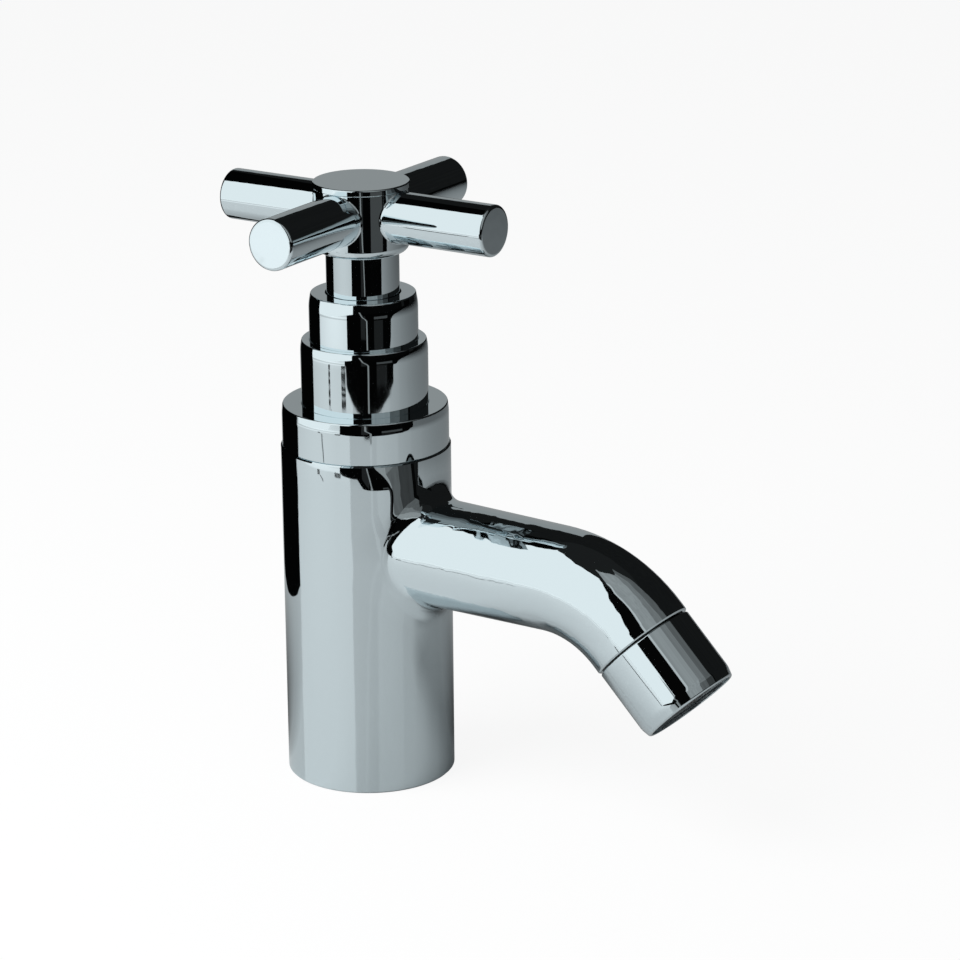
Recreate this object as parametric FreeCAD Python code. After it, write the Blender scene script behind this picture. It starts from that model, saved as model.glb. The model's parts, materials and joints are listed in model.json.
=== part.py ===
import FreeCAD, Part
import math
import os

# Cross-handle pillar tap, in millimetres.
# Origin: centre of the base on the deck. +Z is up, and the spout points along +X.
# At rest the valve is closed and the handle stands as it does in the photograph.

V = FreeCAD.Vector
UP = V(0, 0, 1)

# ---------------------------------------------------------------- driving dimensions
# body casting
BODY_R = 22.0            # outside radius of the round body
BODY_H = 89.3            # deck to the seam under the collar
BODY_WALL = 4.0          # wall of the casting round the hollow base
BASE_HOLLOW_H = 40.0     # depth of the cast hollow in the base
INLET_R = 9.32           # minor radius of the G1/2 inlet thread
INLET_DEPTH = 15.0
HOLLOW_W = 4.5           # width of the ring-shaped hollow round the inlet's boss
WATERWAY_R = 7.0         # rising water passage between inlet and seat
NECK_H = 6.7             # spigot above the seam, hidden by the collar
NECK_WALL = 4.5
HEAD_THREAD_R = 10.48    # radius of the G1/2 thread that takes the bonnet

# spout, one casting with the body
SPOUT_Z = 63.3           # height of the spout's axis
SPOUT_ROOT_R = 14.3      # outside radius where it leaves the body's axis
SPOUT_R = 13.55          # outside radius from the bend to the end
SPOUT_REACH = 58.7       # straight run from the body's axis
SPOUT_BEND_R = 34.5      # centre-line radius of the bend
SPOUT_BEND = 45.0        # degrees turned down
SPOUT_TAIL = 2.4         # straight end after the bend
SPOUT_WALL = 3.15
SPOUT_FILLET = 5.0       # blend between the spout and the body

# aerator in the spout's end
AERATOR_R = 13.35        # outside radius of the chromed shell
AERATOR_L = 20.0         # visible length of the shell
AERATOR_THREAD_R = 12.0  # M24 thread
AERATOR_THREAD_L = 7.0
AERATOR_WALL = 1.45      # wall of the shell round the cartridge
AERATOR_SPIGOT_WALL = 2.3
AERATOR_STEP = 4.0       # solid part of the shell below the seam
MOUTH_RECESS = 1.4       # cartridge face inside the shell's mouth
AERATOR_WASHER_T = 1.0
SCREEN_T = 0.6
CARTRIDGE_WALL = 1.3
GRID_T = 2.0             # thickness of the cartridge's outlet grid
GRID_HOLE_R = 0.95
GRID_PITCH = 2.8
GRID_RINGS = 3           # rings of holes round the middle one

# valve seat, washer and jumper
SEAT_Z = 56.0            # height of the seat's lip
SEAT_BORE_R = 6.0
SEAT_WALL = 2.0
SEAT_DEPTH = 6.0         # insert's length in the web
SEAT_FLANGE_W = 1.2
SEAT_FLANGE_T = 1.0
SEAT_LIP_W = 1.0
SEAT_LIP_H = 0.5
SEAT_HOLE_WALL = 1.0     # metal left between the seat's hole and the spout's water way
WASHER_OVER = 1.2        # washer past the seat's lip
WASHER_T = 3.0
JUMPER_DISC_OVER = 0.4   # disc past the washer
JUMPER_DISC_T = 2.5
JUMPER_STEM_R = 3.0
JUMPER_STEM_L = 10.0
JUMPER_STUD_R = 1.5
WASHER_NUT_AF = 7.0
WASHER_NUT_H = 2.4

# bonnet (headwork), packing and gland nut
BONNET_THREAD_L = 14.0   # length screwed into the body
BONNET_WASHER_T = 1.0
BONNET_WASHER_W = 3.0
HEX_H = 6.0
HEX_INSET = 0.15         # hexagon's corners inside the upper sleeve's outside
BARREL_H = 15.0
BARREL_WALL = 2.0
PACKING_W = 2.0
PACKING_H = 4.5
FOLLOWER_H = 1.5
GLAND_GRIP = 7.0         # gland nut's grip on the barrel
GLAND_TOP_T = 3.0
GLAND_NUT_WALL = 0.95

# spindle
SPINDLE_R = 4.5
SPINDLE_FOOT_R = 5.5
SPINDLE_THREAD_R = 6.0
SPINDLE_THREAD_L = 14.0
SPLINE_R = 3.9
SPLINE_DEPTH = 0.4
SPLINE_TEETH = 20
PITCH = 2.5              # valve lift for one turn of the handle
TURN = 660.0             # degrees from shut to fully open

# stepped covers under the handle
SKIRT_R = 9.4            # sleeve that turns with the handle
UPPER_STEP = 4.6         # each cover is this much larger in radius than the one above
LOWER_STEP = 2.4
COLLAR_IN = 0.45         # collar is this much smaller in radius than the body
COLLAR_H = 10.95
LOWER_SHOW = 16.85       # visible heights, from below upwards
UPPER_SHOW = 12.3
SKIRT_SHOW = 10.8
COLLAR_SOCKET = 3.75     # depth of the lower sleeve in the collar
COVER_WALL = 1.5
COVER_TOP_T = 2.0
UPPER_TAPER_H = 3.6      # gentle cone round the top of the upper sleeve
UPPER_TAPER = 0.5

# cross handle
HUB_R = 12.1
HUB_H = 16.7
HUB_FILLET = 2.2
ARM_R = 6.6
ARM_LENGTH = 39.95       # axis to the arm's end face
ARM_RISE = 10.0          # underside of the hub to the arms' axis
ARM_TURN = 2.2           # degrees from the spout's direction to the first arm
ARM_COUNT = 4
ARM_SPIGOT_R = 4.0
ARM_SPIGOT_L = 5.2
SKIRT_SPIGOT_R = 7.0
SKIRT_SPIGOT_H = 2.5
SKIRT_TOP_T = 2.5
SKIRT_WALL = 1.6
CAP_T = 1.55
CAP_OVER = 0.23          # cap is this much larger in radius than the hub
CAP_WELL_R = 5.5
CAP_WELL_H = 7.4
CAP_PLUG_L = 3.4
CAP_RING_T = 1.2         # section of the O-ring on the plug
SCREW_R = 2.0
SCREW_L = 11.0
SCREW_HEAD_R = 3.6
SCREW_HEAD_H = 2.8
SCREW_HEX_AF = 3.0
SCREW_HEX_DEPTH = 1.6

# base gasket
BASE_SEAL_H = 3.0

# edges and clearances
EDGE = 0.35              # small chamfer on turned edges
RIM = 0.5                # chamfer on the covers' top rims
FIT = 0.05               # radial clearance of fits and threads
GAP = 0.1                # axial play between faces
SLIP = 0.35              # radial clearance round the turning skirt
SKIRT_CLEAR = 1.0        # gland nut to the skirt's lower edge when shut
OPEN_MARGIN = 0.6        # spare thread above the fully open spindle
OVER = 1.0               # how far a cutter runs past the face that it opens
TOUCH = 0.01             # two points this near are taken as one

# ---------------------------------------------------------------- levels and radii from them
LIFT = PITCH * TURN / 360.0

upper_r = SKIRT_R + UPPER_STEP
lower_r = upper_r + LOWER_STEP
collar_r = BODY_R - COLLAR_IN
neck_r = HEAD_THREAD_R + NECK_WALL
hollow_r = BODY_R - BODY_WALL
boss_r = hollow_r - HOLLOW_W
seat_r = SEAT_BORE_R + SEAT_WALL
lip_r = SEAT_BORE_R + SEAT_LIP_W
washer_r = lip_r + WASHER_OVER
jumper_disc_r = washer_r + JUMPER_DISC_OVER
packing_r = SPINDLE_R + PACKING_W
barrel_r = packing_r + BARREL_WALL
hex_corner_r = upper_r - HEX_INSET

z_neck = BODY_H + NECK_H
z_hex = z_neck + BONNET_WASHER_T
z_hex_top = z_hex + HEX_H
z_barrel = z_hex_top + BARREL_H
z_gland = z_barrel + GLAND_TOP_T
z_bonnet = z_neck - BONNET_THREAD_L
z_collar = BODY_H + COLLAR_H
z_ledge = z_collar - COLLAR_SOCKET
z_lower = z_collar + LOWER_SHOW
z_upper = z_lower + UPPER_SHOW
z_hub = z_upper + SKIRT_SHOW
z_hub_top = z_hub + HUB_H
z_arm = z_hub + ARM_RISE
z_skirt = z_gland + SKIRT_CLEAR
z_well = z_hub_top - CAP_WELL_H
z_web = SEAT_Z - SEAT_FLANGE_T - SEAT_LIP_H
z_washer_top = SEAT_Z + GAP / 2 + WASHER_T
z_jumper_top = z_washer_top + JUMPER_DISC_T
z_spindle = z_jumper_top + GAP
z_thread = z_bonnet + GAP
z_thread_top = z_thread + SPINDLE_THREAD_L
z_guide = z_thread_top + LIFT + OPEN_MARGIN
z_packing = z_barrel - FOLLOWER_H - PACKING_H
z_shoulder = z_hub + SKIRT_SPIGOT_H + GAP

bend = math.radians(SPOUT_BEND)
spout_dir = V(math.cos(bend), 0, -math.sin(bend))
spout_pivot = V(SPOUT_REACH, 0, SPOUT_Z - SPOUT_BEND_R)
bend_end = spout_pivot + V(math.sin(bend), 0, math.cos(bend)) * SPOUT_BEND_R
spout_end = bend_end + spout_dir * SPOUT_TAIL


# ---------------------------------------------------------------- helpers
def turned(points):
    """Solid of revolution about Z from (radius, height) corners, given in order."""
    corners = [V(r, 0, z) for r, z in points]
    outline = Part.makePolygon(corners + [corners[0]])
    return Part.Face(outline).revolve(V(0, 0, 0), UP, 360)


def rod(radius, low, high):
    """Round bar on the Z axis between two heights."""
    return Part.makeCylinder(radius, high - low, V(0, 0, low), UP)


def tube(outer, inner, low, high):
    """Round tube on the Z axis between two heights."""
    return rod(outer, low, high).cut(rod(inner, low - OVER, high + OVER))


def prism(radii, low, high):
    """Upright prism whose corners lie at the given radii, evenly spaced round Z."""
    step = 2 * math.pi / len(radii)
    ring = [V(r * math.cos(i * step), r * math.sin(i * step), low) for i, r in enumerate(radii)]
    outline = Part.makePolygon(ring + [ring[0]])
    return Part.Face(outline).extrude(UP * (high - low))


def hexagon(corner_r, low, high):
    """Hexagonal prism by its corner radius."""
    return prism([corner_r] * 6, low, high)


def spline(outer, depth, low, high):
    """Serrated shaft end."""
    return prism([outer, outer - depth] * SPLINE_TEETH, low, high)


def on_spout(shape):
    """Move a shape made on the Z axis so that its +Z runs out of the spout's end."""
    placed = shape.copy()
    placed.Placement = FreeCAD.Placement(spout_end, FreeCAD.Rotation(UP, spout_dir))
    return placed


def save(node, shape):
    """Write one sub-part as parts/NODE.step."""
    shape.exportStep("parts/" + node + ".step")
    print(node, "solids", len(shape.Solids), "volume %.1f" % shape.Volume, "valid", shape.isValid())


# ---------------------------------------------------------------- body and spout
def spout_run(root_radius, radius, start):
    """Straight cone, bend and tail along the spout's centre line."""
    first = V(start, 0, SPOUT_Z)
    length = SPOUT_REACH - start
    east = V(1, 0, 0)
    if abs(root_radius - radius) < TOUCH:
        straight = Part.makeCylinder(radius, length, first, east)
    else:
        straight = Part.makeCone(root_radius, radius, length, first, east)
    disc = Part.Face(Part.Wire(Part.makeCircle(radius, V(SPOUT_REACH, 0, SPOUT_Z), east)))
    elbow = disc.revolve(spout_pivot, V(0, 1, 0), SPOUT_BEND)
    tail = Part.makeCylinder(radius, SPOUT_TAIL, bend_end, spout_dir)
    return straight.fuse([elbow, tail]).removeSplitter()


def root_edges(casting):
    """Edges where the spout meets the outside of the body."""
    found = []
    for edge in casting.Edges:
        points = edge.discretize(Number=7)
        on_body = all(abs(math.hypot(p.x, p.y) - BODY_R) < TOUCH for p in points)
        on_spout_wall = all(math.hypot(p.y, p.z - SPOUT_Z) < SPOUT_ROOT_R + TOUCH for p in points)
        if on_body and on_spout_wall:
            found.append(edge)
    return found


def tap_body():
    """Round body, neck and spout in one casting, with its water way."""
    shell = turned([
        (0, 0), (BODY_R - EDGE, 0), (BODY_R, EDGE), (BODY_R, BODY_H - EDGE),
        (BODY_R - EDGE, BODY_H), (neck_r, BODY_H), (neck_r, z_neck), (0, z_neck),
    ])
    casting = shell.fuse(spout_run(SPOUT_ROOT_R, SPOUT_R, 0)).removeSplitter()
    casting = casting.makeFillet(SPOUT_FILLET, root_edges(casting))

    seat_hole_low = z_web - SEAT_DEPTH - GAP
    inside = [
        rod(INLET_R, -OVER, INLET_DEPTH),
        rod(WATERWAY_R, 0, z_web),
        rod(seat_r + FIT, seat_hole_low, z_web + OVER),
        rod(HEAD_THREAD_R, z_web, z_neck + OVER),
        tube(hollow_r, boss_r, -OVER, BASE_HOLLOW_H),
    ]
    bore_r = SPOUT_R - SPOUT_WALL
    inside.append(spout_run(bore_r, bore_r, seat_r + FIT + SEAT_HOLE_WALL))
    socket_depth = AERATOR_THREAD_L + AERATOR_WASHER_T
    inside.append(on_spout(rod(AERATOR_THREAD_R, -socket_depth, OVER)))
    casting = casting.cut(inside)

    # break the outside edge of the spout's end, beside the aerator's seam
    chamfer = turned([
        (SPOUT_R - EDGE, 0), (SPOUT_R, -EDGE), (SPOUT_R + OVER, -EDGE), (SPOUT_R + OVER, OVER),
        (SPOUT_R - EDGE, OVER),
    ])
    return casting.cut(on_spout(chamfer))


def base_seal():
    """Rubber gasket that fills the mouth of the hollow base, flush with it."""
    return tube(hollow_r - FIT, boss_r + FIT, 0, BASE_SEAL_H)


def valve_seat():
    """Renewable brass seat with a raised lip."""
    flange_r = seat_r + SEAT_FLANGE_W
    flange_top = z_web + SEAT_FLANGE_T
    return turned([
        (SEAT_BORE_R, z_web - SEAT_DEPTH), (seat_r, z_web - SEAT_DEPTH), (seat_r, z_web),
        (flange_r, z_web), (flange_r, flange_top), (lip_r, flange_top),
        (lip_r, SEAT_Z), (SEAT_BORE_R, SEAT_Z),
    ])


# ---------------------------------------------------------------- headwork
def jumper_valve():
    """Disc with a stem in the spindle's foot and a stud for the washer."""
    stem_top = z_jumper_top + JUMPER_STEM_L
    stud_low = SEAT_Z + GAP / 2 - WASHER_NUT_H - EDGE
    return turned([
        (0, stud_low), (JUMPER_STUD_R, stud_low), (JUMPER_STUD_R, z_washer_top),
        (jumper_disc_r, z_washer_top), (jumper_disc_r, z_jumper_top),
        (JUMPER_STEM_R, z_jumper_top), (JUMPER_STEM_R, stem_top - EDGE),
        (JUMPER_STEM_R - EDGE, stem_top), (0, stem_top),
    ])


def tap_washer():
    """Rubber washer that closes on the seat."""
    return tube(washer_r, JUMPER_STUD_R + FIT, z_washer_top - WASHER_T, z_washer_top)


def washer_nut():
    """Small hexagon nut under the washer, inside the seat's bore."""
    top = z_washer_top - WASHER_T
    low = top - WASHER_NUT_H
    corner_r = WASHER_NUT_AF / math.sqrt(3)
    return hexagon(corner_r, low, top).cut(rod(JUMPER_STUD_R + FIT, low - OVER, top + OVER))


def bonnet_washer():
    """Fibre washer between the bonnet's hexagon and the neck."""
    inner_r = HEAD_THREAD_R + FIT
    return tube(inner_r + BONNET_WASHER_W, inner_r, z_neck, z_hex)


def bonnet():
    """Headwork body: thread, hexagon, barrel and stuffing box."""
    outside = rod(HEAD_THREAD_R - FIT, z_bonnet, z_hex + GAP)
    outside = outside.fuse(hexagon(hex_corner_r, z_hex, z_hex_top))
    outside = outside.fuse(rod(barrel_r, z_hex, z_barrel))
    thread_r = SPINDLE_THREAD_R + FIT
    guide_r = SPINDLE_R + FIT
    inside = turned([
        (0, z_bonnet - OVER), (thread_r, z_bonnet - OVER), (thread_r, z_guide),
        (guide_r, z_guide), (guide_r, z_packing), (packing_r, z_packing),
        (packing_r, z_barrel + OVER), (0, z_barrel + OVER),
    ])
    return outside.cut(inside).removeSplitter()


def gland_packing():
    """Packing ring round the spindle."""
    return tube(packing_r - FIT, SPINDLE_R + FIT, z_packing, z_packing + PACKING_H)


def gland_follower():
    """Brass ring between the packing and the gland nut."""
    return tube(packing_r - FIT, SPINDLE_R + FIT, z_barrel - FOLLOWER_H, z_barrel)


def gland_nut():
    """Cap nut that squeezes the packing."""
    grip_r = barrel_r + FIT
    corner_r = (grip_r + GLAND_NUT_WALL) * 2 / math.sqrt(3)
    low = z_barrel - GLAND_GRIP
    nut = hexagon(corner_r, low, z_gland)
    nut = nut.cut(rod(grip_r, low - OVER, z_barrel))
    return nut.cut(rod(SPINDLE_R + FIT, low, z_gland + OVER))


def spindle():
    """Rising spindle: foot, thread, plain shank and splined top."""
    spline_top = z_well - GAP
    shaft = turned([
        (0, z_spindle), (SPINDLE_FOOT_R, z_spindle), (SPINDLE_FOOT_R, z_thread),
        (SPINDLE_THREAD_R, z_thread), (SPINDLE_THREAD_R, z_thread_top),
        (SPINDLE_R, z_thread_top), (SPINDLE_R, z_shoulder), (0, z_shoulder),
    ])
    shaft = shaft.fuse(spline(SPLINE_R, SPLINE_DEPTH, z_shoulder - GAP, spline_top))
    stem_hole = rod(JUMPER_STEM_R + FIT, z_spindle - OVER, z_jumper_top + JUMPER_STEM_L + GAP)
    screw_hole = rod(SCREW_R + FIT, z_well - SCREW_L - GAP, spline_top + OVER)
    return shaft.cut([stem_hole, screw_hole])


# ---------------------------------------------------------------- covers
def collar_ring():
    """Ring that continues the body above the seam and holds the lower sleeve."""
    bore_r = neck_r + FIT
    socket_r = lower_r + FIT
    return turned([
        (bore_r, BODY_H), (collar_r - EDGE, BODY_H), (collar_r, BODY_H + EDGE),
        (collar_r, z_collar - RIM), (collar_r - RIM, z_collar), (socket_r, z_collar),
        (socket_r, z_ledge), (bore_r, z_ledge),
    ])


def lower_sleeve():
    """Lower stepped cover, open below, with a hole for the upper one."""
    inner_r = lower_r - COVER_WALL
    hole_r = upper_r + FIT
    plate = z_lower - COVER_TOP_T
    return turned([
        (inner_r, z_ledge), (lower_r, z_ledge), (lower_r, z_lower - RIM), (lower_r - RIM, z_lower),
        (hole_r, z_lower), (hole_r, plate), (inner_r, plate),
    ])


def upper_sleeve():
    """Upper stepped cover on the bonnet's hexagon, with a hole for the turning skirt."""
    inner_r = upper_r - COVER_WALL
    hole_r = SKIRT_R + SLIP
    plate = z_upper - COVER_TOP_T
    top_r = upper_r - UPPER_TAPER
    return turned([
        (inner_r, z_hex_top), (upper_r, z_hex_top), (upper_r, z_upper - UPPER_TAPER_H),
        (top_r, z_upper - EDGE), (top_r - EDGE, z_upper), (hole_r, z_upper),
        (hole_r, plate), (inner_r, plate),
    ])


# ---------------------------------------------------------------- cross handle
def handle_skirt():
    """Sleeve under the hub that turns and rises through the upper cover."""
    inner_r = SKIRT_R - SKIRT_WALL
    hole_r = SPINDLE_R + FIT
    plate = z_hub - SKIRT_TOP_T
    spigot_top = z_hub + SKIRT_SPIGOT_H
    return turned([
        (inner_r, z_skirt), (SKIRT_R - EDGE, z_skirt), (SKIRT_R, z_skirt + EDGE), (SKIRT_R, z_hub),
        (SKIRT_SPIGOT_R, z_hub), (SKIRT_SPIGOT_R, spigot_top), (hole_r, spigot_top),
        (hole_r, plate), (inner_r, plate),
    ])


def along_arm(shape, index):
    """Turn a shape made along +X at the arms' height to one arm's direction."""
    placed = shape.copy()
    placed.rotate(V(0, 0, 0), UP, ARM_TURN + index * 360.0 / ARM_COUNT)
    return placed


def handle_hub():
    """Hub with a rounded lower edge, a splined hole and sockets for the arms."""
    hub = rod(HUB_R, z_hub, z_hub_top)
    lower_rim = [edge for edge in hub.Edges if edge.BoundBox.ZMax < z_hub + TOUCH]
    hub = hub.makeFillet(min(HUB_FILLET, HUB_R - SKIRT_R - GAP), lower_rim)
    hub = hub.cut(rod(SKIRT_SPIGOT_R + FIT, z_hub - OVER, z_shoulder))
    hub = hub.cut(spline(SPLINE_R + FIT, SPLINE_DEPTH, z_shoulder - OVER, z_well + OVER))
    hub = hub.cut(rod(CAP_WELL_R, z_well, z_hub_top + OVER))
    socket_start = HUB_R - ARM_SPIGOT_L - GAP
    socket = Part.makeCylinder(ARM_SPIGOT_R + FIT, HUB_R, V(socket_start, 0, z_arm), V(1, 0, 0))
    return hub.cut([along_arm(socket, i) for i in range(ARM_COUNT)])


def handle_arm(index):
    """Round arm with a saddle end on the hub and a screwed spigot."""
    east = V(1, 0, 0)
    bar = Part.makeCylinder(ARM_R, ARM_LENGTH - EDGE, V(0, 0, z_arm), east)
    end = Part.makeCone(ARM_R, ARM_R - EDGE, EDGE, V(ARM_LENGTH - EDGE, 0, z_arm), east)
    bar = bar.fuse(end).cut(rod(HUB_R + FIT, z_arm - 2 * ARM_R, z_arm + 2 * ARM_R))
    spigot = Part.makeCylinder(ARM_SPIGOT_R, ARM_SPIGOT_L + ARM_R, V(HUB_R - ARM_SPIGOT_L, 0, z_arm), east)
    return along_arm(bar.fuse(spigot).removeSplitter(), index)


def handle_screw():
    """Socket screw that holds the hub on the spindle."""
    head_top = z_well + SCREW_HEAD_H
    screw = turned([
        (0, z_well - SCREW_L), (SCREW_R, z_well - SCREW_L), (SCREW_R, z_well), (SCREW_HEAD_R, z_well),
        (SCREW_HEAD_R, head_top - EDGE), (SCREW_HEAD_R - EDGE, head_top), (0, head_top),
    ])
    corner_r = SCREW_HEX_AF / math.sqrt(3)
    return screw.cut(hexagon(corner_r, head_top - SCREW_HEX_DEPTH, head_top + OVER))


def plug_groove():
    """Heights and floor radius of the O-ring groove on the cap's plug."""
    middle = z_hub_top - CAP_PLUG_L / 2
    return middle - CAP_RING_T / 2, middle + CAP_RING_T / 2, CAP_WELL_R - CAP_RING_T


def handle_cap():
    """Flat round cap with a plug into the hub's well. Its face is left plain."""
    cap_r = HUB_R + CAP_OVER
    top = z_hub_top + CAP_T
    plug_r = CAP_WELL_R - 2 * FIT
    groove_low, groove_high, floor_r = plug_groove()
    return turned([
        (0, z_hub_top - CAP_PLUG_L), (plug_r, z_hub_top - CAP_PLUG_L), (plug_r, groove_low),
        (floor_r, groove_low), (floor_r, groove_high), (plug_r, groove_high),
        (plug_r, z_hub_top), (cap_r, z_hub_top), (cap_r, top - EDGE), (cap_r - EDGE, top), (0, top),
    ])


def cap_ring():
    """O-ring that grips the cap in the hub, pressed to its groove's width."""
    groove_low, groove_high, floor_r = plug_groove()
    section = (CAP_WELL_R - floor_r) / 2 - FIT / 2
    middle = (groove_low + groove_high) / 2
    return Part.makeTorus(floor_r + section + FIT / 2, section, V(0, 0, middle), UP)


# ---------------------------------------------------------------- aerator
def aerator_shell():
    """Chromed shell with its thread spigot above the seam."""
    thread_r = AERATOR_THREAD_R - FIT
    spigot_r = thread_r - AERATOR_SPIGOT_WALL
    cavity_r = AERATOR_R - AERATOR_WALL
    return on_spout(turned([
        (spigot_r, -AERATOR_THREAD_L), (thread_r, -AERATOR_THREAD_L), (thread_r, 0),
        (AERATOR_R - EDGE, 0), (AERATOR_R, EDGE), (AERATOR_R, AERATOR_L - RIM),
        (AERATOR_R - RIM, AERATOR_L), (cavity_r, AERATOR_L), (cavity_r, AERATOR_STEP),
        (spigot_r, AERATOR_STEP),
    ]))


def aerator_washer():
    """Rubber washer between the shell's spigot and the spout."""
    low = -AERATOR_THREAD_L - AERATOR_WASHER_T
    inner_r = AERATOR_THREAD_R - AERATOR_SPIGOT_WALL
    return on_spout(tube(AERATOR_THREAD_R - FIT, inner_r, low, -AERATOR_THREAD_L))


def aerator_screen():
    """Woven screen above the cartridge, as a thin perforated disc."""
    radius = AERATOR_R - AERATOR_WALL - FIT
    return on_spout(rod(radius, AERATOR_STEP, AERATOR_STEP + SCREEN_T).cut(grid_holes(0, AERATOR_L)))


def grid_holes(low, high):
    """Holes on a hexagonal pattern, ring by ring round the middle one."""
    holes = [rod(GRID_HOLE_R, low, high)]
    for ring in range(1, GRID_RINGS + 1):
        for side in range(6):
            corner = V(ring * GRID_PITCH, 0, 0)
            corner = FreeCAD.Rotation(UP, 60 * side).multVec(corner)
            along = FreeCAD.Rotation(UP, 60 * side + 120).multVec(V(GRID_PITCH, 0, 0))
            for step in range(ring):
                place = corner + along * step
                holes.append(Part.makeCylinder(GRID_HOLE_R, high - low, place + V(0, 0, low), UP))
    return Part.makeCompound(holes)


def aerator_cartridge():
    """Plastic cup with the outlet grid in its face."""
    outer_r = AERATOR_R - AERATOR_WALL - FIT
    inner_r = outer_r - CARTRIDGE_WALL
    low = AERATOR_STEP + SCREEN_T
    face = AERATOR_L - MOUTH_RECESS
    cup = turned([
        (0, face - GRID_T), (inner_r, face - GRID_T), (inner_r, low), (outer_r, low),
        (outer_r, face), (0, face),
    ])
    return on_spout(cup.cut(grid_holes(low, face + OVER)))


# ---------------------------------------------------------------- write every sub-part
os.makedirs("parts", exist_ok=True)

PIECES = [
    tap_body, base_seal, valve_seat, jumper_valve, tap_washer, washer_nut, bonnet_washer, bonnet,
    gland_packing, gland_follower, gland_nut, spindle, collar_ring, lower_sleeve, upper_sleeve,
    handle_skirt, handle_hub, handle_screw, handle_cap, cap_ring,
    aerator_shell, aerator_washer, aerator_screen, aerator_cartridge,
]
for piece in PIECES:
    save(piece.__name__, piece())
for arm in range(ARM_COUNT):
    save("handle_arm_%d" % (arm + 1), handle_arm(arm))
print("valve lift %.3f mm" % LIFT)
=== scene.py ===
# %% [markdown]
# # A chromed pillar tap, dressed in Blender
# The tap comes from the CAD model as a fixed frame: every solid already stands in its
# place, in metres. This lesson gives each solid its finish, makes the turned covers,
# the cross and the outlet again with softly polished edges, and sets up the small
# studio that the chrome shows. Nearly everything one sees on chrome is a reflection, so
# half of the lesson is about edges and about boards.

# %% Load the frame
import json
import math

import bmesh
import bpy
from mathutils import Matrix, Quaternion, Vector


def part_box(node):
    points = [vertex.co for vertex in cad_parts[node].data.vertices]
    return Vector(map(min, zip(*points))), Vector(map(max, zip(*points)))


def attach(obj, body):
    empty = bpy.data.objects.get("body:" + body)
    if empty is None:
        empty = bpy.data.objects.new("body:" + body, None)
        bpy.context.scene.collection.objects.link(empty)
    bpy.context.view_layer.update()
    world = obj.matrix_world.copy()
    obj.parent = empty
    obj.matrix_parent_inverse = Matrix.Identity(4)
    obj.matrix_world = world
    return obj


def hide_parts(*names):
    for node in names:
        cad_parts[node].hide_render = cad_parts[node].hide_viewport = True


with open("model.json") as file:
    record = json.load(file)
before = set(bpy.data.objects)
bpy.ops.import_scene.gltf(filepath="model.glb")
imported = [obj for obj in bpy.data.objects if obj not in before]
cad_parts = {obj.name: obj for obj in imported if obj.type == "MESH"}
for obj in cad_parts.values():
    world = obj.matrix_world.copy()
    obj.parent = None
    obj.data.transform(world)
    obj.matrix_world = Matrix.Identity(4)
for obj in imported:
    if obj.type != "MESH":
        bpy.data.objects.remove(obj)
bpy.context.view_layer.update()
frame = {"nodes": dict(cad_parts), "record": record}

# %% [markdown]
# Node trees read best as plain expressions. One small class wraps a socket, so that
# `1 - mask` or `height * 0.5` adds the Math node by itself. Every other node comes
# from one method, which takes the node's type, its settings and its inputs. Shader
# trees and Geometry Nodes trees share both, so the same words build a finish and a form.

# %% Node expressions
class Wire:
    """One output socket, with the arithmetic that adds Math nodes."""

    def __init__(self, tree, socket):
        self.tree = tree
        self.socket = socket

    def maths(self, operation, *inputs, clamp=False):
        settings = {"operation": operation, "use_clamp": clamp}
        return self.tree.add("ShaderNodeMath", settings, *inputs)

    def __add__(self, other):
        return self.maths("ADD", self, other)

    def __radd__(self, other):
        return self.maths("ADD", other, self)

    def __sub__(self, other):
        return self.maths("SUBTRACT", self, other)

    def __rsub__(self, other):
        return self.maths("SUBTRACT", other, self)

    def __mul__(self, other):
        return self.maths("MULTIPLY", self, other)

    def __rmul__(self, other):
        return self.maths("MULTIPLY", other, self)

    def __truediv__(self, other):
        return self.maths("DIVIDE", self, other)

    def __pow__(self, other):
        return self.maths("POWER", self, other)

    def floored(self):
        return self.maths("FLOOR", self)

    def size(self):
        return self.maths("ABSOLUTE", self)

    def clamped(self):
        return self.maths("ADD", self, 0.0, clamp=True)

    def ramp(self, start, end):
        """0 at the start and 1 at the end, and level beyond them."""
        return ((self - start) / (end - start)).clamped()

    def split(self):
        """The x, y and z of a vector."""
        outputs = self.tree.add("ShaderNodeSeparateXYZ", None, self).socket.node.outputs
        return [Wire(self.tree, output) for output in outputs]


class Nodes:
    """A node tree, and the one way in which its nodes are made."""

    def __init__(self, tree):
        self.nodes = tree.nodes
        self.links = tree.links
        self.nodes.clear()

    def add(self, kind, settings=None, *inputs, out=0, **named):
        """Make a node: settings first, then its inputs by order or by name."""
        node = self.nodes.new(kind)
        for name, value in (settings or {}).items():
            if name == "stops":
                self.set_stops(node.color_ramp, value)
            else:
                setattr(node, name, value)
        for key, value in [*enumerate(inputs), *named.items()]:
            socket = node.inputs[key.replace("_", " ") if isinstance(key, str) else key]
            if isinstance(value, Wire):
                self.links.new(value.socket, socket)
            elif value is not None:
                socket.default_value = value
        return Wire(self, node.outputs[out])

    def set_stops(self, ramp, stops):
        while len(ramp.elements) < len(stops):
            ramp.elements.new(0.5)
        for element, (place, colour) in zip(ramp.elements, stops):
            element.position = place
            element.color = (*colour, 1)

    def vector(self, x, y, z):
        return self.add("ShaderNodeCombineXYZ", None, x, y, z)


print("node helpers ready")

# %% [markdown]
# A finish is a material whose nodes read Object coordinates. Every piece stands at the
# origin, so these are the tap's own millimetres, and a pattern keeps its real scale on
# every piece and in every view.

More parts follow.
